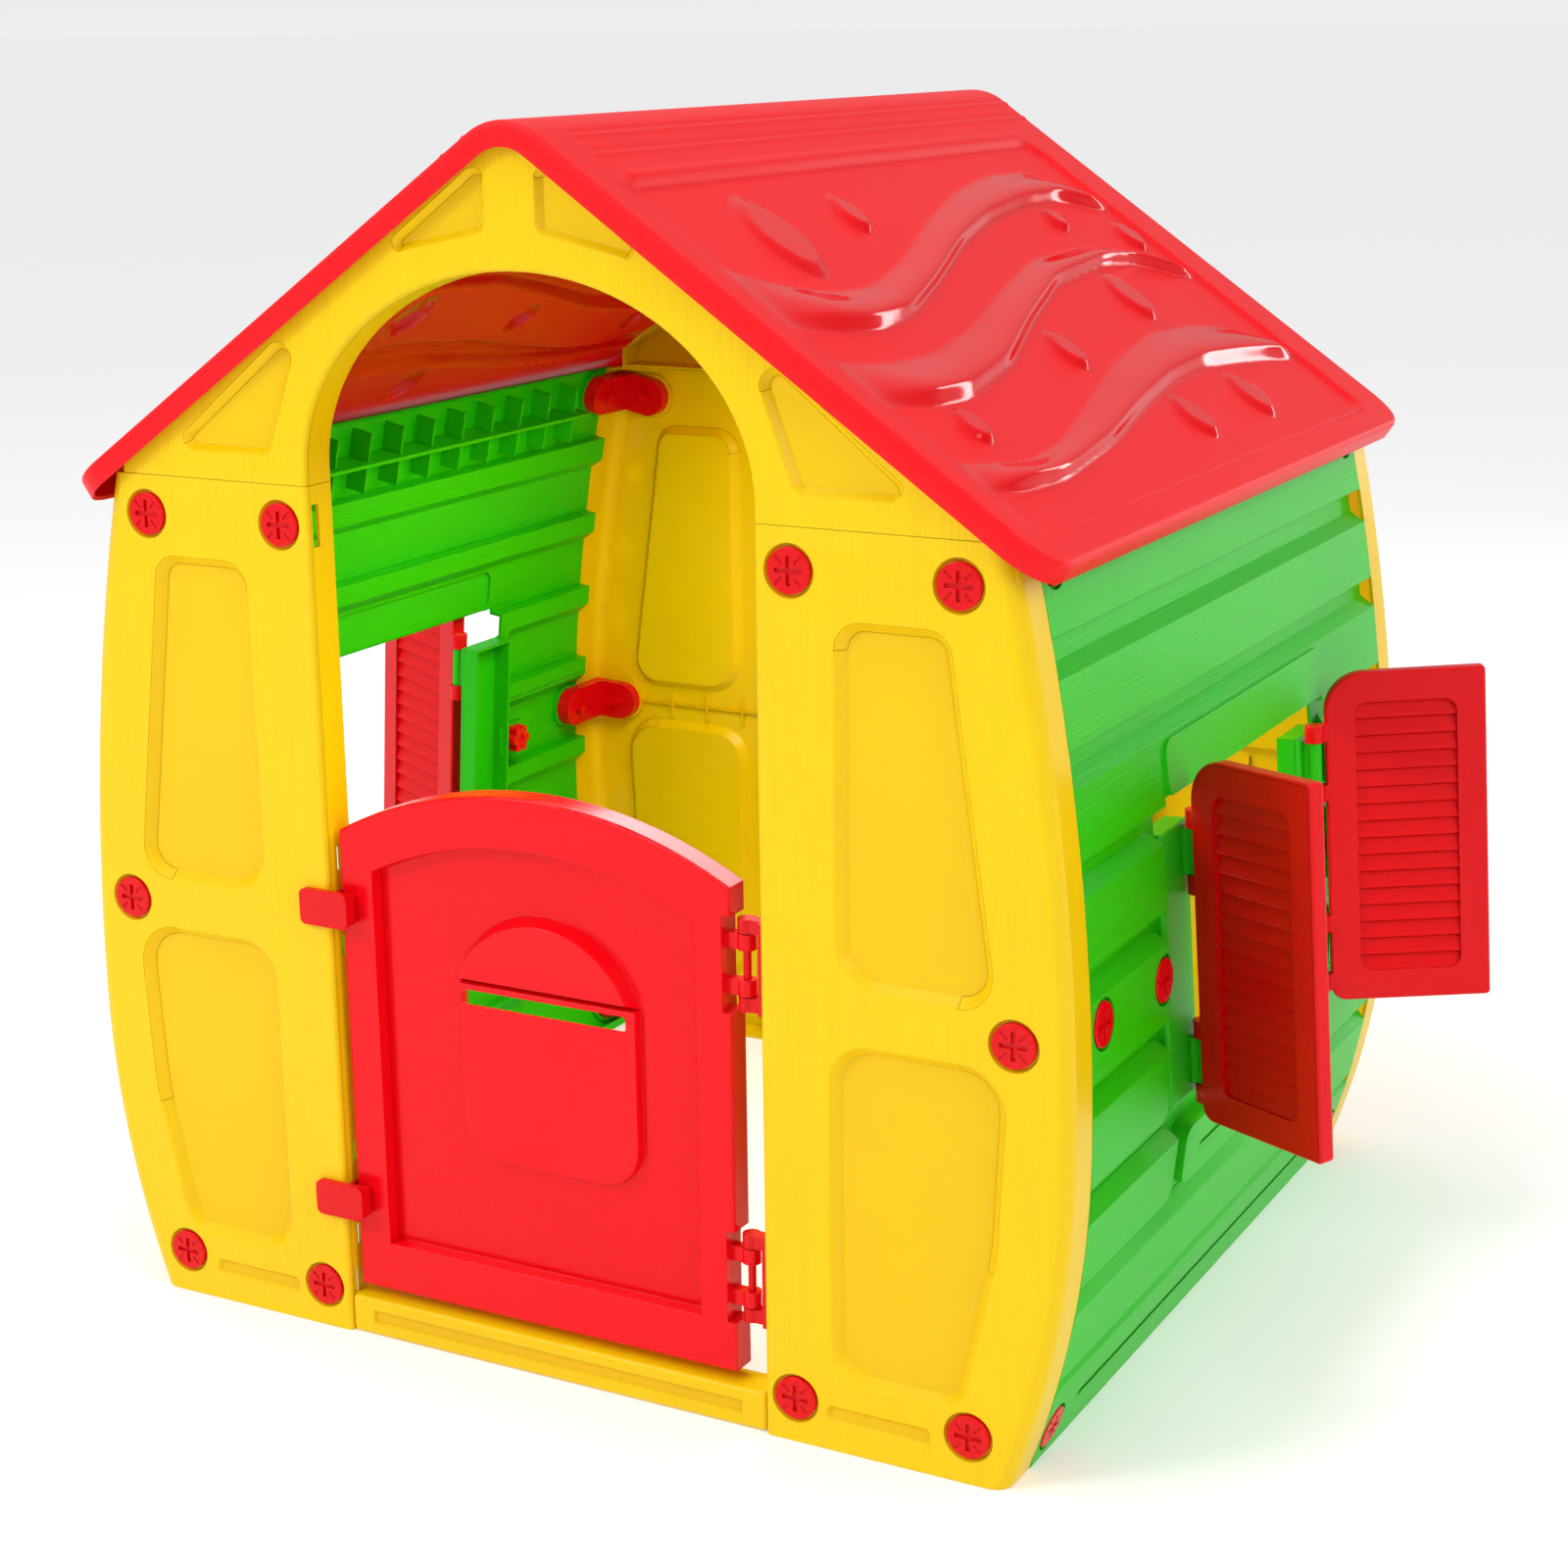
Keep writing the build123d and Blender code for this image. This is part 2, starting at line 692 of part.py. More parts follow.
wave_edges = [
    ([(-412, 203), (-296, 260), (-137, 242), (0, 196), (111, 163), (218, 146), (304, 148), (385, 224)],
     [(-412, 283), (-296, 311), (-137, 281), (0, 238), (111, 209), (218, 194), (304, 196), (385, 228)]),
    ([(-418, 327), (-344, 345), (-259, 349), (-147, 330), (-7, 291), (101, 267), (225, 264),
      (300, 276), (388, 334)],
     [(-418, 380), (-344, 400), (-259, 403), (-147, 381), (-7, 337), (101, 308), (225, 297),
      (300, 304), (388, 338)]),
    ([(-416, 454), (-375, 466), (-312, 478), (-231, 472), (-128, 446), (13, 408), (145, 387),
      (250, 389), (328, 407), (388, 468)],
     [(-416, 493), (-375, 502), (-312, 508), (-231, 501), (-128, 482), (13, 462), (145, 445),
      (250, 447), (328, 457), (388, 472)]),
]
ovals = [(-272, 190, 56, 24), (-121, 175, 30, 13), (-322, 431, 24, 14), (243, 223, 20, 12),
         (355, 263, 26, 14), (198, 339, 40, 18), (-38, 382, 29, 16), (44, 492, 33, 17), (198, 490, 36, 18)]

with BuildPart() as roof_shell:
    with BuildSketch(Plane.XZ):
        add(roof_profile(0, roof_lip))
    extrude(amount=roof_half_length, both=True)
    fillet(roof_shell.edges().filter_by(Axis.Z), radius=30)
    with BuildSketch(slope_plane):
        for upper_edge, lower_edge in wave_edges:
            add(wave_outline(upper_edge, lower_edge))
        for along, down, half_long, half_wide in ovals:
            with Locations((along, -down)):
                Ellipse(half_wide, half_long, rotation=oval_turn)
    extrude(amount=relief_height)
    with BuildSketch(Plane.XZ):
        add(roof_profile(roof_skin, 4 * roof_lip))
    extrude(amount=roof_half_length - roof_skin, both=True, mode=Mode.SUBTRACT)

with BuildPart() as far_half:
    with Locations((-tooth_length, 0, 0)):
        Box(house_depth, 2 * house_depth, 2 * roof_apex, align=(Align.MAX, Align.CENTER, Align.MIN))
    tooth_pitch = 2 * roof_half_length / tooth_count
    with GridLocations(1, 2 * tooth_pitch, 1, tooth_count // 2):
        with Locations((0, tooth_pitch / 2, 0)):
            Box(2 * (tooth_length + piece_gap), tooth_pitch + piece_gap, 2 * roof_apex,
                align=(Align.CENTER, Align.CENTER, Align.MIN))

with BuildPart() as roof_right:
    add(roof_shell.part)
    add(far_half.part, mode=Mode.SUBTRACT)

save(roof_right.part, "roof_right")
save(turned(roof_right.part), "roof_left")


# ---------------------------------------------------------------- corner brackets
def corner_bracket(level):
    """L-shaped bracket that joins the right wall to the front panel at a wall level."""
    corner = bracket_corner - half_depth
    leg_plane = Plane(
        origin=wall_plane(level).origin + Vector(0, corner, 0),
        x_dir=wall_plane(level).z_dir,
        z_dir=(0, 1, 0),
    )
    with BuildPart() as bracket:
        with BuildSketch(wall_plane(level, boss_back + 0.2)):
            with Locations((corner, 0)):
                Rectangle(-wall_screw_y - corner, bracket_height, align=(Align.MIN, Align.CENTER))
            with Locations((-wall_screw_y, 0)):
                Circle(bracket_height / 2)
                Circle(bracket_bore_radius, mode=Mode.SUBTRACT)
        extrude(amount=-bracket_thickness)
        with BuildSketch(leg_plane):
            with Locations((-boss_back - 0.2, 0)):
                Rectangle(bracket_screw_offset - boss_back, bracket_height, align=(Align.MAX, Align.CENTER))
            with Locations((-bracket_screw_offset, 0)):
                Circle(bracket_height / 2)
        extrude(amount=bracket_thickness)
        with BuildSketch(leg_plane):
            with Locations((-bracket_screw_offset, 0)):
                Circle(bracket_bore_radius)
        extrude(amount=2 * bracket_thickness, mode=Mode.SUBTRACT)
    return bracket.part


for level, place in zip(bracket_wall_levels, ["lower", "middle", "upper"]):
    bracket = corner_bracket(level)
    mirrored = mirror(bracket, about=Plane.YZ)
    save(bracket, f"front_right_{place}_bracket")
    save(mirrored, f"front_left_{place}_bracket")
    save(turned(mirrored), f"back_right_{place}_bracket")
    save(turned(bracket), f"back_left_{place}_bracket")


# ---------------------------------------------------------------- screws and nuts
with BuildPart() as screw:
    with BuildSketch(Plane.XY.offset(-screw_dish_depth)):
        Circle(screw_head_radius)
    extrude(amount=screw_head_height)
    fillet(screw.edges().sort_by(Axis.Z)[-1], radius=1.5)
    with BuildSketch(Plane.XY.offset(screw_head_height - screw_dish_depth)):
        Rectangle(24, 4)
        Rectangle(4, 24)
    extrude(amount=-2.5, mode=Mode.SUBTRACT)
    with BuildSketch(Plane.XY.offset(screw_head_height - screw_dish_depth)):
        with PolarLocations(12, 4, start_angle=45):
            Rectangle(8, 2)
    extrude(amount=-0.8, mode=Mode.SUBTRACT)
    with BuildSketch(Plane.XY.offset(-screw_dish_depth)):
        Circle(screw_radius)
    extrude(amount=-screw_length)

with BuildPart() as front_screws:
    with Locations(front_plane()):
        with Locations(*panel_screws, *[(-x, z) for x, z in panel_screws]):
            add(screw.part)

with BuildPart() as right_wall_screws:
    for level in bracket_wall_levels:
        with Locations(wall_plane(level)):
            with GridLocations(2 * wall_screw_y, 1, 2, 1):
                add(screw.part)
    with Locations(wall_plane(extra_screw_level)):
        with GridLocations(2 * extra_screw_y, 1, 2, 1):
            add(screw.part)

with BuildPart() as right_wall_nuts:
    nut_inset = groove_depth + skin + tab_thickness + 2 * piece_gap
    with BuildSketch(wall_plane(extra_screw_level, nut_inset)):
        with GridLocations(2 * extra_screw_y, 1, 2, 1):
            Circle(12)
            with PolarLocations(11, 6):
                Circle(5)
            Circle(bracket_bore_radius, mode=Mode.SUBTRACT)
    extrude(amount=-12)

save(front_screws.part, "front_screws")
save(turned(front_screws.part), "back_screws")
save(right_wall_screws.part, "right_wall_screws")
save(turned(right_wall_screws.part), "left_wall_screws")
save(right_wall_nuts.part, "right_wall_nuts")
save(turned(right_wall_nuts.part), "left_wall_nuts")


# ---------------------------------------------------------------- door
def door_outline(side=0.0, foot=0.0, head=0.0):
    """The door's front view with its arched top, set in at its sides, foot and head."""
    middle = (door_left + door_right) / 2
    half = (door_right - door_left) / 2
    rise = door_apex - door_shoulder
    radius = (half**2 + rise**2) / (2 * rise) - head
    shoulder = door_apex - head - radius + sqrt(radius**2 - (half - side) ** 2)
    with BuildSketch() as outline:
        with BuildLine():
            low = Polyline((middle + side - half, shoulder), (middle + side - half, door_bottom + foot),
                           (middle + half - side, door_bottom + foot), (middle + half - side, shoulder))
            ThreePointArc(low @ 1, (middle, door_apex - head), low @ 0)
        make_face()
    return outline.sketch


def plaque_outline(inset=0.0):
    """The raised plaque on the door: square above, round-cornered below."""
    corners = [(-93 + inset, 356), (90 - inset, 356), (90 - inset, 190 + inset), (-93 + inset, 190 + inset)]
    return rounded_polygon(corners, [1, 1, 38 - inset, 38 - inset])


def hood_outline(inset=0.0):
    """The half-round hood over the letter slot."""
    with BuildSketch() as outline:
        with BuildLine():
            base = Line((-98.5 + inset, 354), (91.5 - inset, 354))
            ThreePointArc(base @ 0, (-3.5, 425 - inset), base @ 1)
        make_face()
    return outline.sketch


with BuildPart() as door:
    with BuildSketch(front_plane(door_face)):
        add(door_outline())
    extrude(amount=-door_thickness)
    outer_edges = door.faces().sort_by(Axis.Y)[0].edges()
    fillet(outer_edges, radius=2.5)
    with BuildSketch(front_plane(door_face)):
        add(door_outline(34, 46, 46))
    extrude(amount=-door_recess_depth, taper=8, mode=Mode.SUBTRACT)
    # Open back: the space behind the face skin, round the recess
    with BuildPart(mode=Mode.SUBTRACT):
        with BuildSketch(front_plane(door_face + skin)):
            add(door_outline(skin, skin, skin))
        extrude(amount=-door_thickness)
        with BuildSketch(front_plane(door_face + skin - overlap)):
            add(door_outline(34 - skin, 46 - skin, 46 - skin))
        extrude(amount=-door_recess_depth, taper=8, mode=Mode.SUBTRACT)
    # Plaque and hood stand out of the recess, hollow behind
    with BuildSketch(front_plane(door_face + door_recess_depth + 0.5 * skin)):
        add(hood_outline())
    extrude(amount=hood_height + 0.5 * skin, taper=24)
    with BuildSketch(front_plane(door_face + door_recess_depth + 0.5 * skin)):
        add(plaque_outline())
    extrude(amount=plaque_height + 0.5 * skin, taper=12)
    with BuildSketch(front_plane(door_face + door_recess_depth + 2 * skin)):
        add(hood_outline(skin))
    extrude(amount=hood_height + skin, taper=24, mode=Mode.SUBTRACT)
    with BuildSketch(front_plane(door_face + door_recess_depth + 2 * skin)):
        add(plaque_outline(skin))
    extrude(amount=plaque_height + skin, taper=12, mode=Mode.SUBTRACT)
    with BuildSketch(front_plane()):
        with Locations((-4.5, 342)):
            RectangleRounded(167, 14, 4)
    extrude(amount=-2 * door_thickness, mode=Mode.SUBTRACT)
    # Solid blocks, notches and knuckles at the two hinges
    for level in door_hinge_levels:
        with BuildSketch(front_plane(door_face + 0.5 * skin)):
            with Locations((door_right - 18, level)):
                Rectangle(16.5, door_hinge_height + 10, align=(Align.MIN, Align.CENTER))
        extrude(amount=-door_thickness + 0.5 * skin)
        with BuildSketch(front_plane()):
            with Locations((door_right + 1, level)):
                Rectangle(9, door_hinge_height + 4, align=(Align.MAX, Align.CENTER))
        extrude(amount=-2 * door_thickness, mode=Mode.SUBTRACT)
        for middle in (level - 20, level + 20):
            with BuildSketch(Plane.XY.offset(middle - 7)):
                with Locations(door_pivot):
                    Circle(8)
                    Rectangle(22, 10, align=(Align.MAX, Align.CENTER))
                    Circle(pin_radius + pin_clearance, mode=Mode.SUBTRACT)
            extrude(amount=14)

with BuildPart() as door_hinge:
    with Locations((door_hinge_plate, door_pivot[1] + 1, door_hinge_levels[0])):
        Box(doorway_half_width - 0.2 - door_hinge_plate, 26, door_hinge_height,
            align=(Align.MIN, Align.CENTER, Align.CENTER))
    for middle in (door_hinge_levels[0] - 34, door_hinge_levels[0] + 34):
        with BuildSketch(Plane.XY.offset(middle - 6)):
            with Locations(door_pivot):
                Circle(8)
                Rectangle(door_hinge_plate - door_pivot[0] + 1, 12, align=(Align.MIN, Align.CENTER))
        extrude(amount=12)
    with BuildSketch(Plane.XY.offset(door_hinge_levels[0] - door_hinge_height / 2)):
        with Locations(door_pivot):
            Circle(pin_radius)
    extrude(amount=door_hinge_height)

stop_edge = -doorway_half_width + 0.2
with BuildPart() as door_stop:
    with BuildSketch(front_plane(-6)):
        with Locations((-219.5, stop_levels[0])):
            RectangleRounded(51, 33, 6)
    extrude(amount=-5.7)
    with BuildSketch(front_plane(-1)):
        with Locations((stop_edge, stop_levels[0])):
            Rectangle(4, 26, align=(Align.MIN, Align.CENTER))
    extrude(amount=-26)
    with BuildSketch(front_plane(-1)):
        with Locations((-194, stop_levels[0])):
            Rectangle(14, 26, align=(Align.MAX, Align.CENTER))
    extrude(amount=-9)

save(door.part, "door")
save(door_hinge.part, "door_hinge_lower")
save(Pos(0, 0, door_hinge_levels[1] - door_hinge_levels[0]) * door_hinge.part, "door_hinge_upper")
save(door_stop.part, "door_stop_lower")
save(Pos(0, 0, stop_levels[1] - stop_levels[0]) * door_stop.part, "door_stop_upper")


# ---------------------------------------------------------------- shutters
shutter_plane = Plane(
    origin=hinge_plane.origin + hinge_plane.x_dir * shutter_outer_face,
    x_dir=(0, 1, 0),
    z_dir=hinge_plane.x_dir,
)
field_bottom = shutter_bottom + 28
field_height = shutter_height - 56
field_start = shutter_edge + 27
field_end = shutter_edge + shutter_width - 26
louvre_pitch = field_height / louvre_count


def louvre_profile():
    """Zigzag cross-section of the louvred field, the same on both faces."""
    outer = []
    inner = []
    for step in range(louvre_count):
        low = field_bottom + step * louvre_pitch
        outer += [(-1.5, low), (-6, low + louvre_pitch - 1.5)]
        inner += [(1.5 - shutter_thickness, low), (6 - shutter_thickness, low + louvre_pitch - 1.5)]
    top = field_bottom + field_height
    return outer + [(-2, top), (2 - shutter_thickness, top)] + inner[::-1]


with BuildPart() as louvres:
    section_plane = Plane(origin=shutter_plane.origin, x_dir=hinge_plane.x_dir, z_dir=(0, -1, 0))
    with BuildSketch(section_plane.offset(-field_end)):
        with BuildLine():
            Polyline(*louvre_profile(), close=True)
        make_face()
    extrude(amount=field_end - field_start)

with BuildPart() as closed_shutter:
    with BuildSketch(shutter_plane):
        far = shutter_edge + shutter_width
        top = shutter_bottom + shutter_height
        add(rounded_polygon([(shutter_edge, shutter_bottom), (far, shutter_bottom), (far, top),
                             (shutter_edge, top)], [14, 4, 4, 38]))
    extrude(amount=-shutter_thickness)
    fillet(closed_shutter.edges().filter_by(shutter_plane), radius=2.5)
    with BuildSketch(shutter_plane):
        with Locations(((field_start + field_end) / 2, field_bottom + field_height / 2)):
            RectangleRounded(field_end - field_start - 2, field_height - 2, 12)
    extrude(amount=-shutter_thickness, mode=Mode.SUBTRACT)
    add(louvres.part)
    for level in shutter_hinge_levels:
        for middle in (level - 29, level + 29):
            with BuildSketch(hinge_plane.offset(middle - 8)):
                Circle(9)
                with Locations((3.85, 0)):
                    Rectangle(10.3, 14, align=(Align.CENTER, Align.MIN))
                Circle(pin_radius + pin_clearance, mode=Mode.SUBTRACT)
            extrude(amount=16)
            with BuildSketch(hinge_plane.offset(middle - 8)):
                Circle(pin_radius + pin_clearance)
            extrude(amount=16, mode=Mode.SUBTRACT)

hinge_line = Axis(hinge_plane.origin, hinge_plane.z_dir)


def open_shutter(side):
    """The front right shutter swung open by the rest angle of one of the four."""
    return closed_shutter.part.rotate(hinge_line, -open_angles[side])


save(open_shutter("right_front"), "shutter_right_front")
save(mirror(open_shutter("right_rear"), about=Plane.XZ), "shutter_right_rear")
save(mirror(open_shutter("left_front"), about=Plane.YZ), "shutter_left_front")
save(turned(open_shutter("left_rear")), "shutter_left_rear")
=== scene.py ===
"""Looks for the plastic playhouse: moulded-plastic materials, a relief roof, studio light and camera."""
import json
import math

import bpy
import numpy as np
from mathutils import Matrix, Vector


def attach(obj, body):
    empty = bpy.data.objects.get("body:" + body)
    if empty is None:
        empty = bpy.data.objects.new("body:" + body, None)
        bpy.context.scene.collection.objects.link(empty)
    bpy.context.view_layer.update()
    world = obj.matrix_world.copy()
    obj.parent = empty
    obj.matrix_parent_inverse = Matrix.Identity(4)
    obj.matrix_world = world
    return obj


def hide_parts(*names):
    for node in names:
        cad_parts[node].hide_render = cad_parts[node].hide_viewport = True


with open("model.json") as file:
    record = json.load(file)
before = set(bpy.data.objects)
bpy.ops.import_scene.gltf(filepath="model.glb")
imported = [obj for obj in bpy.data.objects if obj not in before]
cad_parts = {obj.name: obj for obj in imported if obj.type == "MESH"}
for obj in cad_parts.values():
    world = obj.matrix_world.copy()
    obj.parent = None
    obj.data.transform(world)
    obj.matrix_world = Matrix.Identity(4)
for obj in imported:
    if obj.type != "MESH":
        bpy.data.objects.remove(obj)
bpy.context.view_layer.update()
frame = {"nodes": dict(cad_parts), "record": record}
nodes = frame["nodes"]


# ---------------------------------------------------------------- materials
class Graph:
    """Small helper around one material's node tree."""

    def __init__(self, name):
        self.material = bpy.data.materials.new(name)
        self.material.use_nodes = True
        self.tree = self.material.node_tree
        self.shader = self.tree.nodes["Principled BSDF"]
        self.coordinates = self.add("ShaderNodeTexCoord").outputs["Object"]

    def add(self, kind, **settings):
        node = self.tree.nodes.new(kind)
        for key, value in settings.items():
            setattr(node, key, value)
        return node

    def link(self, source, target):
        self.tree.links.new(source, target)

    def noise(self, scale, detail=3.0, roughness=0.6):
        """Noise stretched by a different scale along each axis of the object."""
        mapping = self.add("ShaderNodeMapping")
        mapping.inputs["Scale"].default_value = scale
        self.link(self.coordinates, mapping.inputs["Vector"])
        noise = self.add("ShaderNodeTexNoise")
        noise.inputs["Scale"].default_value = 1.0
        noise.inputs["Detail"].default_value = detail
        noise.inputs["Roughness"].default_value = roughness
        self.link(mapping.outputs["Vector"], noise.inputs["Vector"])
        return noise.outputs["Fac"]

    def remap(self, value, low, high, to_low, to_high):
        """A value's range stretched linearly onto another range, clamped at both ends."""
        node = self.add("ShaderNodeMapRange")
        node.inputs["From Min"].default_value = low
        node.inputs["From Max"].default_value = high
        node.inputs["To Min"].default_value = to_low
        node.inputs["To Max"].default_value = to_high
        self.link(value, node.inputs["Value"])
        return node.outputs["Result"]

    def math(self, operation, first, second):
        """One arithmetic step on sockets or plain numbers."""
        node = self.add("ShaderNodeMath", operation=operation)
        for socket, value in zip(node.inputs, (first, second)):
            if isinstance(value, (int, float)):
                socket.default_value = value
            else:
                self.link(value, socket)
        return node.outputs[0]

    def mix_colour(self, factor, first, second):
        """Blend from the first colour to the second, each a socket or a linear RGB triple."""
        node = self.add("ShaderNodeMix", data_type="RGBA")
        self.link(factor, node.inputs["Factor"])
        for socket, value in zip((node.inputs[6], node.inputs[7]), (first, second)):
            if isinstance(value, tuple):
                socket.default_value = (*value, 1.0)
            else:
                self.link(value, socket)
        return node.outputs[2]

    def bump(self, height, strength, distance, base=None):
        node = self.add("ShaderNodeBump")
        node.inputs["Strength"].default_value = strength
        node.inputs["Distance"].default_value = distance
        self.link(height, node.inputs["Height"])
        if base is not None:
            self.link(base, node.inputs["Normal"])
        return node.outputs["Normal"]

    def rounded_edges(self, radius):
        """Normals of edges rounded by a small radius, as moulded plastic has everywhere."""
        node = self.add("ShaderNodeBevel", samples=4)
        node.inputs["Radius"].default_value = radius
        return node.outputs["Normal"]

    def axis(self, letter):
        """One object coordinate in metres."""
        node = self.add("ShaderNodeSeparateXYZ")
        self.link(self.coordinates, node.inputs["Vector"])
        return node.outputs[letter]


FINE_PEEL = (140.0, 140.0, 140.0)
SOFT_CLOUDS = (5.0, 5.0, 5.0)
POLISHED_ROUGHNESS = 0.09
# Share of the colour kept in creases, as painted shade
PAINTED_CREASE_SHADE = (0.82, 0.66, 0.6)


def scaled(colour, share):
    return tuple(c * share for c in colour)


def moulded_plastic(name, colour, roughness, grain, grain_depth, mask=None, sheen_spread=0.06,
                    edge_radius=0.0016, gloss=None):
    """Moulded polyethylene: grain, soft clouds, faint orange peel, pale worn edges and painted shade in the
    creases.

    grain is the scale of the grain along each axis and grain_depth its depth in metres. mask limits the
    grain to faces past a distance from the middle along an axis, and gloss names the mesh attribute that
    polishes parts of the surface and darkens their colour as painted shade for their deeper reflections.
    """
    g = Graph(name)
    cloud = g.noise(SOFT_CLOUDS, detail=4.0)
    streak = g.remap(g.noise(grain, detail=4.0, roughness=0.75), 0.3, 0.7, 0.0, 1.0)
    if mask is not None:
        axis, low, high = mask
        on_face = g.remap(g.math("ABSOLUTE", g.axis(axis), 0.0), low, high, 0.0, 1.0)
        streak = g.math("MULTIPLY", streak, on_face)

    tone = g.math("ADD", g.math("MULTIPLY", streak, 0.45), g.math("MULTIPLY", cloud, 0.45))
    body = g.mix_colour(g.remap(tone, 0.1, 0.75, 0.0, 1.0), scaled(colour, 0.82), colour)
    pointiness = g.add("ShaderNodeNewGeometry").outputs["Pointiness"]
    pale = tuple(min(1.0, c * 0.92 + 0.04) for c in colour)
    body = g.mix_colour(g.remap(pointiness, 0.53, 0.62, 0.0, 0.18), body, pale)
    # Painted shade: creases and hollows are darkened where shade would fall
    painted_crease_shade = tuple(c * share for c, share in zip(colour, PAINTED_CREASE_SHADE))
    body = g.mix_colour(g.remap(pointiness, 0.38, 0.485, 0.55, 0.0), body, painted_crease_shade)

    sheen = g.math("ADD", g.math("MULTIPLY", streak, 0.6), g.math("MULTIPLY", cloud, 0.4))
    rough = g.remap(sheen, 0.2, 0.8, roughness - sheen_spread, roughness + sheen_spread)
    if gloss is not None:
        polish_and_painted_shade = g.add("ShaderNodeAttribute", attribute_name=gloss).outputs["Fac"]
        matte = g.math("SUBTRACT", 1.0, polish_and_painted_shade)
        rough = g.math("ADD", g.math("MULTIPLY", rough, matte),
                       g.math("MULTIPLY", polish_and_painted_shade, POLISHED_ROUGHNESS))
        streak = g.math("MULTIPLY", streak, matte)
        # Painted shade: the polished parts get a darker colour that stands in for their deeper reflections
        body = g.mix_colour(polish_and_painted_shade, body, scaled(colour, 0.8))
    g.link(body, g.shader.inputs["Base Color"])
    g.link(rough, g.shader.inputs["Roughness"])

    start = g.rounded_edges(edge_radius) if edge_radius else None
    normal = g.bump(g.noise(FINE_PEEL, detail=2.0), 0.075, 0.0004, start)
    normal = g.bump(streak, 0.55, grain_depth, normal)
    g.link(normal, g.shader.inputs["Normal"])
    g.shader.inputs["IOR"].default_value = 1.5
    g.shader.inputs["Specular IOR Level"].default_value = 0.2
    g.shader.inputs["Subsurface Weight"].default_value = 0.08
    g.shader.inputs["Subsurface Radius"].default_value = (1.0, 0.6, 0.3)
    g.shader.inputs["Subsurface Scale"].default_value = 0.006
    return g.material


yellow = (0.93, 0.62, 0.0005)
green = (0.015, 0.55, 0.0005)
red = (0.86, 0.0008, 0.006)
crimson = (0.76, 0.0005, 0.004)

# Vertical brushing on the outer faces of the front and back only
yellow_plastic = moulded_plastic("yellow_grained_plastic", yellow, 0.36, (620.0, 620.0, 7.0), 0.00045,
                                 mask=("Y", 0.4375, 0.4392))
green_plastic = moulded_plastic("green_grained_plastic", green, 0.34, (620.0, 7.0, 520.0), 0.0005)
roof_plastic = moulded_plastic("red_roof_plastic", red, 0.4, (900.0, 900.0, 900.0), 0.0002, sheen_spread=0.05,
                               edge_radius=0.0, gloss="gloss")
door_plastic = moulded_plastic("red_door_plastic", red, 0.2, (300.0, 300.0, 300.0), 0.00005,
                               sheen_spread=0.05)
shutter_plastic = moulded_plastic("red_shutter_plastic", crimson, 0.34, (500.0, 500.0, 40.0), 0.00015)
fitting_plastic = moulded_plastic("red_fitting_plastic", crimson, 0.28, (300.0, 300.0, 300.0), 0.00004,
                                  edge_radius=0.0009)

slot_materials = {
    "yellow_plastic": yellow_plastic,
    "green_plastic": green_plastic,
    "red_roof_plastic": roof_plastic,
    "red_door_plastic": door_plastic,
    "red_shutter_plastic": shutter_plastic,
    "red_fitting_plastic": fitting_plastic,
}
for part in frame["record"]["subparts"]:
    mesh = nodes[part["node"]].data
    mesh.materials.clear()
    mesh.materials.append(slot_materials[part["material_slot"]])


# ---------------------------------------------------------------- roof with its moulded relief
# Lengths on the roof are in millimetres: y runs along the ridge and s down the slope from the apex
SLOPE = math.radians(34.9)
APEX = 1102.6  # height at which the two slopes would meet
RIDGE_RADIUS = 58.0
HALF_LENGTH = 450.0
EAVE = 478.0 / math.cos(SLOPE)
EDGE = 5.0  # rounding where the slope turns down into the lip
LIP = 21.0
TOOTH = 75.0
TOOTH_REACH = 12.0
STEP = 2.5
CORNER = 30.0
SKIN = 4.0
SMOOTH_ANGLE = math.radians(70)
ARC = RIDGE_RADIUS * SLOPE
TANGENT = RIDGE_RADIUS * math.tan(SLOPE)

FIELD_DEPTH = 4.5
WAVE_HEIGHT = 10.5
RIDGE_LINES = (43.0, 68.0)
EAVE_LINES = (545.0, 554.0)

# Each wave's upper and lower edge as (y, s), and each oval as (y, s, half length, half width)
WAVES = [
    ([(-420, 200), (-365, 237), (-296, 259), (-227, 262), (-137, 242), (-7, 198), (111, 163),
      (218, 146), (304, 148), (390, 205)],
     [(-420, 283), (-343, 304), (-287, 311), (-221, 305), (-121, 276), (10, 233), (110, 210),
      (214, 197), (304, 197), (390, 226)]),
    ([(-425, 327), (-344, 345), (-259, 348), (-147, 330), (-7, 292), (101, 267), (225, 264),
      (300, 276), (390, 330)],
     [(-425, 379), (-349, 400), (-277, 403), (-168, 384), (-41, 342), (91, 304), (225, 292),
      (300, 300), (390, 340)]),
    ([(-420, 454), (-375, 465), (-312, 478), (-231, 472), (-128, 446), (13, 409), (145, 386),
      (250, 389), (328, 407), (390, 440)],
     [(-420, 493), (-361, 503), (-283, 507), (-150, 490), (-29, 466), (86, 448), (180, 443),
      (269, 451), (330, 458), (390, 470)]),
]
OVALS = [(-273, 190, 56, 36), (-121, 175, 28, 18), (-323, 431, 23, 19), (243, 223, 19, 15),
         (355, 263, 25, 18), (198, 339, 38, 26), (-38, 382, 28, 21), (42, 492, 31, 23),
         (196, 490, 34, 24)]


def smooth(value, low, high):
    """Rise from 0 to 1 between two values, level at both ends."""
    t = np.clip((value - low) / (high - low), 0, 1)
    return t * t * (3 - 2 * t)


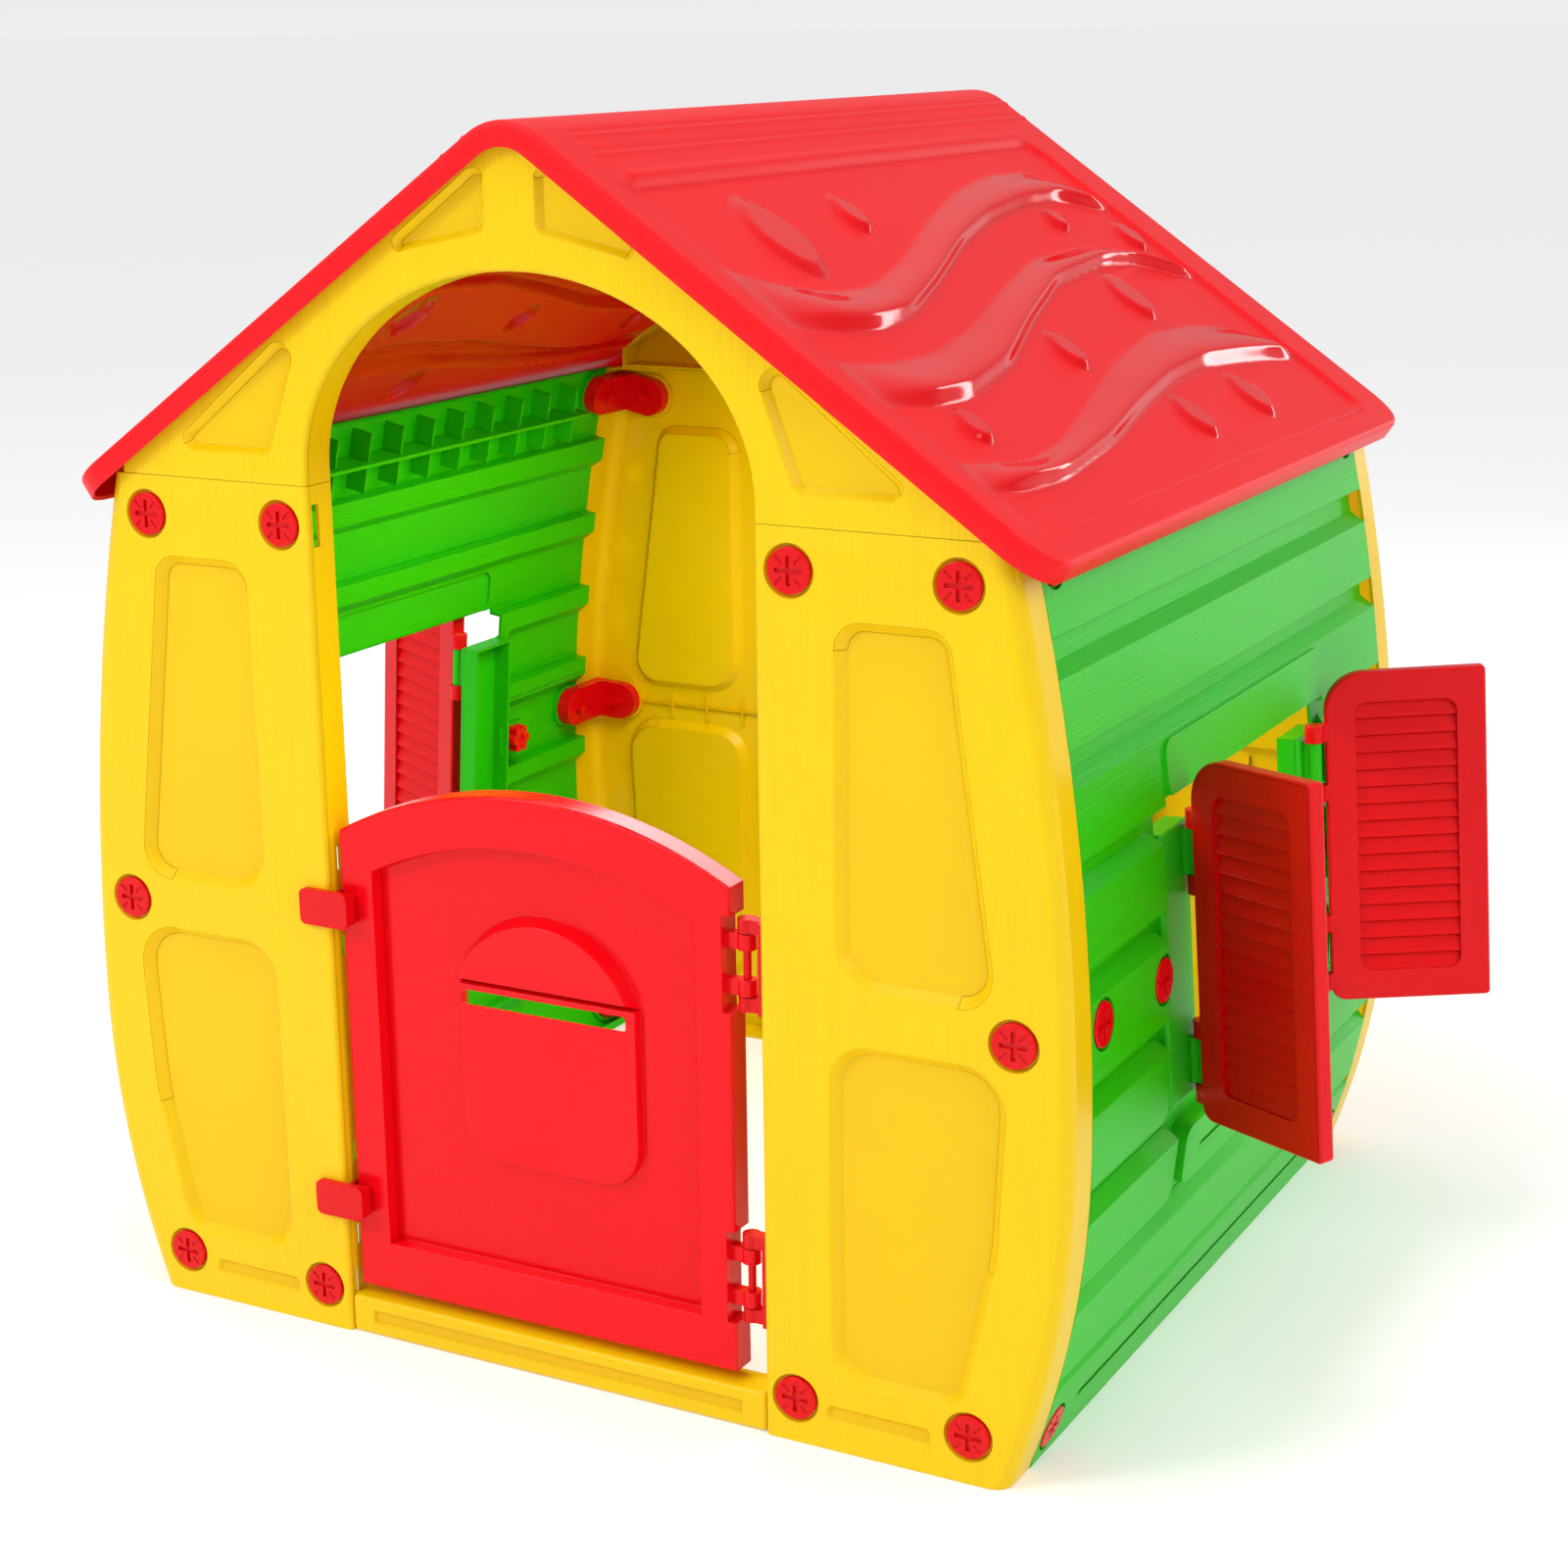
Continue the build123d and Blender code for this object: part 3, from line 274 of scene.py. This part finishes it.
def edge_line(points):
    """A wave's edge on a fine grid of Y, smoothed."""
    grid = np.arange(-470.0, 471.0, 2.0)
    line = np.interp(grid, *zip(*points))
    kernel = np.hanning(37)
    padded = np.pad(line, 18, mode="edge")
    return grid, np.convolve(padded, kernel / kernel.sum(), mode="valid")


WAVE_LINES = [(edge_line(upper), edge_line(lower)) for upper, lower in WAVES]


def groove(distance, half_width):
    """Rounded profile that is 1 at its middle line and fades out on both sides."""
    return np.exp(-((distance / half_width) ** 2))


def field_mask(y, s):
    """1 inside the sunken field of the slope and 0 on the rim around it."""
    inside = (smooth(y, -432, -392) * (1 - smooth(y, 384, 394))
              * smooth(s, 101, 111) * (1 - smooth(s, 536, 552)))
    corner = smooth(np.hypot(np.clip(y - 360, 0, None), np.clip(140 - s, 0, None)), 26, 36)
    return inside * (1 - corner)


def fine_lines(y, s):
    """Rolled groove along the top of the field and the paired lines by the ridge and the eave."""
    reach = smooth(y, -396, -384) * (1 - smooth(y, 368, 384))
    height = 2.2 * groove(s - 100, 5.0) * reach - 1.5 * groove(s - 112, 4.0) * reach
    along_ridge = smooth(y, -404, -398)
    for level in RIDGE_LINES:
        height += along_ridge * 1.3 * (groove(s - level - 3.5, 3.0) - groove(s - level + 1.5, 2.6))
    along_eave = smooth(y, -370, -362) * (1 - smooth(y, 372, 380))
    for level in EAVE_LINES:
        height += -1.8 * along_eave * groove(s - level, 2.6)
    return height


def wave_relief(y, s, upper_line, lower_line):
    """One wave: a long rise down the slope and a short steep fall, with its polish."""
    top = np.interp(y, *upper_line)
    bottom = np.interp(y, *lower_line)
    t = (s - top) / (bottom - top)
    ends = smooth(y, -432, -330) * (1 - smooth(y, 350, 396))
    crest = smooth(t, -0.08, 0.78) * (1 - smooth(t, 0.8, 1.1))
    shine = (smooth(t, 0.0, 0.12) * (1 - smooth(t, 1.04, 1.12))
             * smooth(y, -424, -400) * (1 - smooth(y, 380, 394)))
    return WAVE_HEIGHT * crest * ends, shine


def oval_relief(y, s, centre_y, centre_s, half_long, half_wide):
    """One leaf-like oval, higher at its lower end, with its polish."""
    along = (s - centre_s) / half_long
    across = (y - centre_y + 0.12 * (s - centre_s)) / half_wide
    r = np.hypot(along, across) + 0.1 * np.abs(along * across)
    return (5.2 + 1.8 * along) * (1 - smooth(r, 0.7, 1.04)), 1 - smooth(r, 1.0, 1.06)


def relief(y, s):
    """Height of the moulded relief above the plain slope, and where it is polished."""
    height = fine_lines(y, s) - FIELD_DEPTH * field_mask(y, s)
    gloss = np.zeros_like(y)
    shapes = [wave_relief(y, s, upper, lower) for upper, lower in WAVE_LINES]
    shapes += [oval_relief(y, s, *oval) for oval in OVALS]
    for rise, shine in shapes:
        height = height + rise
        gloss = np.maximum(gloss, shine)
    return height, gloss


def slope_point(arc, y, lift, side):
    """Point on the roof at a distance from the ridge along the surface, lifted off it, in metres."""
    angle = np.clip(arc / RIDGE_RADIUS, -SLOPE, SLOPE)
    past = np.clip(arc - ARC, 0, None)
    centre = APEX - RIDGE_RADIUS / math.cos(SLOPE)
    x = (RIDGE_RADIUS + lift) * np.sin(angle) + past * math.cos(SLOPE)
    z = centre + (RIDGE_RADIUS + lift) * np.cos(angle) - past * math.sin(SLOPE)
    return np.stack([x * side, y * side, z], -1) / 1000


def surface_faces(arcs, columns):
    """Faces of the surface grid; past the ridge only this half's teeth reach over."""
    count = len(columns)
    faces = []
    for i in range(len(arcs) - 1):
        for j in range(count - 1):
            middle = (columns[j] + columns[j + 1]) / 2
            own_tooth = int((middle + HALF_LENGTH) // TOOTH) % 2 == 0
            if own_tooth or arcs[i + 1] > TOOTH_REACH + 0.1:
                a = i * count + j
                faces.append((a, a + count, a + count + 1, a + 1))
    return faces


def add_lip(points, faces, rim, arc_grid, y_grid, side):
    """The rounded edge and hanging lip along the rim, added ring by ring below the surface."""
    flat = np.array([(y_grid[i, j], arc_grid[i, j]) for i, j in rim])
    tangent = np.gradient(flat, axis=0)
    outward = np.stack([-tangent[:, 1], tangent[:, 0]], -1)
    outward /= np.linalg.norm(outward, axis=1, keepdims=True)
    previous = [i * y_grid.shape[1] + j for i, j in rim]
    profile = [(EDGE * math.sin(t), EDGE * (1 - math.cos(t))) for t in (0.4, 0.8, 1.2, math.pi / 2)]
    profile += [(EDGE, LIP * 0.5), (EDGE, LIP - 1), (EDGE - 0.6, LIP)]
    for out, down in profile:
        ring = slope_point(flat[:, 1] + outward[:, 1] * out, flat[:, 0] + outward[:, 0] * out,
                           np.full(len(flat), -down), side)
        current = list(range(len(points), len(points) + len(flat)))
        points = np.concatenate([points, ring])
        for k in range(len(flat) - 1):
            faces.append((previous[k], current[k], current[k + 1], previous[k + 1]))
        previous = current
    return points


def thickened(half):
    """Clean the sheet, turn its normals up and give it its skin's thickness inwards."""
    half.select_set(True)
    bpy.context.view_layer.objects.active = half
    bpy.ops.object.mode_set(mode="EDIT")
    bpy.ops.mesh.select_all(action="SELECT")
    bpy.ops.mesh.delete_loose()
    bpy.ops.mesh.select_all(action="SELECT")
    bpy.ops.mesh.normals_make_consistent(inside=False)
    bpy.ops.object.mode_set(mode="OBJECT")
    if sum(face.normal.z for face in half.data.polygons) < 0:
        half.data.flip_normals()
    thick = half.modifiers.new("skin", "SOLIDIFY")
    thick.thickness = SKIN / 1000
    thick.offset = -1.0
    bpy.ops.object.modifier_apply(modifier="skin")
    bpy.ops.object.shade_smooth_by_angle(angle=SMOOTH_ANGLE)
    half.select_set(False)


def roof_half(name, side):
    """One half of the roof: a fine relief sheet with rounded edges and a hanging lip, thickened inwards."""
    end = EAVE - EDGE - TANGENT + ARC
    over_ridge = np.arange(-TOOTH_REACH, TOOTH_REACH + 1, 3.0)
    arcs = np.concatenate([over_ridge, np.arange(14.5, end - 1, STEP), [end]])
    inner = HALF_LENGTH - EDGE
    columns = np.arange(-inner, inner + 1, STEP)
    arc_grid, base_y = np.meshgrid(arcs, columns, indexing="ij")

    # The rows draw in near the eave for the rounded corners
    near_eave = np.clip((arc_grid - (end - CORNER / math.cos(SLOPE))) * math.cos(SLOPE), 0, CORNER)
    shrink = CORNER - np.sqrt(CORNER**2 - near_eave**2)
    y_grid = base_y * (inner - shrink) / inner
    lift, gloss = relief(y_grid, arc_grid - ARC + TANGENT)
    lift = np.where(arc_grid < 24, 0.0, lift)
    points = slope_point(arc_grid, y_grid, lift, side).reshape(-1, 3)
    faces = surface_faces(arcs, columns)

    # The rim from the front gable along the eave to the back gable, as (row, column) pairs
    rows, count = arc_grid.shape
    back_start = int(np.searchsorted(arcs, TOOTH_REACH - 0.1))
    rim = [(i, 0) for i in range(rows - 1)]
    rim += [(rows - 1, j) for j in range(count)]
    rim += [(i, count - 1) for i in range(rows - 2, back_start - 1, -1)]
    points = add_lip(points, faces, rim, arc_grid, y_grid, side)

    mesh = bpy.data.meshes.new(name)
    mesh.from_pydata([tuple(p) for p in points], [], faces)
    mesh.materials.append(roof_plastic)
    polish = np.zeros(len(points), np.float32)
    polish[:gloss.size] = gloss.ravel()
    mesh.attributes.new("gloss", "FLOAT", "POINT").data.foreach_set("value", polish)
    mesh.validate()
    half = bpy.data.objects.new(name, mesh)
    bpy.context.scene.collection.objects.link(half)
    thickened(half)
    return half


for name, node, side in (("roof_relief_right", "roof_right", 1), ("roof_relief_left", "roof_left", -1)):
    half = roof_half(name, side)
    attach(half, "house")
    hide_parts(node)


# ---------------------------------------------------------------- stage, light and camera
def floor_material():
    """Plain pale floor that glows faintly, so that it stays white far from the lamps."""
    g = Graph("pale_floor")
    g.shader.inputs["Base Color"].default_value = (0.86, 0.86, 0.86, 1.0)
    g.shader.inputs["Roughness"].default_value = 0.75
    g.shader.inputs["Emission Color"].default_value = (1.0, 1.0, 1.0, 1.0)
    g.shader.inputs["Emission Strength"].default_value = 0.2
    g.link(g.bump(g.noise((30.0, 30.0, 30.0)), 0.05, 0.001), g.shader.inputs["Normal"])
    return g.material


FLOOR_REACH = 300.0
floor_mesh = bpy.data.meshes.new("floor")
floor_mesh.from_pydata([(-FLOOR_REACH, -FLOOR_REACH, 0), (FLOOR_REACH, -FLOOR_REACH, 0),
                        (FLOOR_REACH, FLOOR_REACH, 0), (-FLOOR_REACH, FLOOR_REACH, 0)], [], [(0, 1, 2, 3)])
floor_mesh.materials.append(floor_material())
floor = bpy.data.objects.new("floor", floor_mesh)
floor.location.z = -0.0005
bpy.context.scene.collection.objects.link(floor)


def grey(level):
    return (level, level, level, 1.0)


def studio_world():
    """Plain grey studio: bright at the horizon, dimmer just above it and brighter again overhead."""
    world = bpy.data.worlds.new("studio")
    world.use_nodes = True
    sky = world.node_tree
    direction = sky.nodes.new("ShaderNodeSeparateXYZ")
    sky.links.new(sky.nodes.new("ShaderNodeTexCoord").outputs["Generated"], direction.inputs["Vector"])
    ramp = sky.nodes.new("ShaderNodeValToRGB")
    horizon, overhead = ramp.color_ramp.elements
    horizon.position, horizon.color = 0.0, grey(0.86)
    overhead.position, overhead.color = 0.95, grey(0.95)
    ramp.color_ramp.elements.new(0.16).color = grey(0.36)
    sky.links.new(direction.outputs["Z"], ramp.inputs["Fac"])
    sky.links.new(ramp.outputs["Color"], sky.nodes["Background"].inputs["Color"])
    return world


def area_light(name, place, target, size, power):
    """A rectangular softbox at a place, facing a target."""
    light = bpy.data.lights.new(name, "AREA")
    light.shape = "RECTANGLE"
    light.size, light.size_y = size
    light.energy = power
    lamp = bpy.data.objects.new(name, light)
    lamp.location = place
    lamp.rotation_euler = (Vector(target) - Vector(place)).to_track_quat("-Z", "Y").to_euler()
    bpy.context.scene.collection.objects.link(lamp)


bpy.context.scene.world = studio_world()
area_light("key_softbox", (-2.4, -3.6, 3.2), (0, 0, 0.5), (1.5, 1.5), 88)
area_light("fill_softbox", (3.8, -1.4, 2.4), (0, 0, 0.4), (1.6, 2.2), 52)
area_light("top_softbox", (-0.8, -0.6, 4.2), (0, 0, 0.8), (2.0, 2.0), 40)
area_light("rear_strip", (1.9, 3.6, 1.5), (0.3, 0, 0.9), (0.5, 1.6), 22)
# Stands in for the daylight that glows through the thin walls and roof
area_light("interior_bounce", (0.0, 0.0, 0.82), (0, 0, 0), (0.46, 0.46), 5.5)

azimuth, elevation, roll = (math.radians(a) for a in (28.36, 15.14, -0.68))
back = Vector((math.sin(azimuth) * math.cos(elevation), -math.cos(azimuth) * math.cos(elevation),
               math.sin(elevation)))
level_right = Vector((math.cos(azimuth), math.sin(azimuth), 0))
level_up = back.cross(level_right)
right = level_right * math.cos(roll) + level_up * math.sin(roll)
up = level_up * math.cos(roll) - level_right * math.sin(roll)
orientation = Matrix((right, up, back)).transposed().to_4x4()
camera_data = bpy.data.cameras.new("main_camera")
camera_data.sensor_width = 36.0
camera_data.lens = 64.82
camera = bpy.data.objects.new("main_camera", camera_data)
camera.matrix_world = Matrix.Translation((1.2711, -2.3464, 1.1627)) @ orientation
bpy.context.scene.collection.objects.link(camera)
bpy.context.scene.camera = camera
bpy.context.scene.view_settings.view_transform = "Standard"
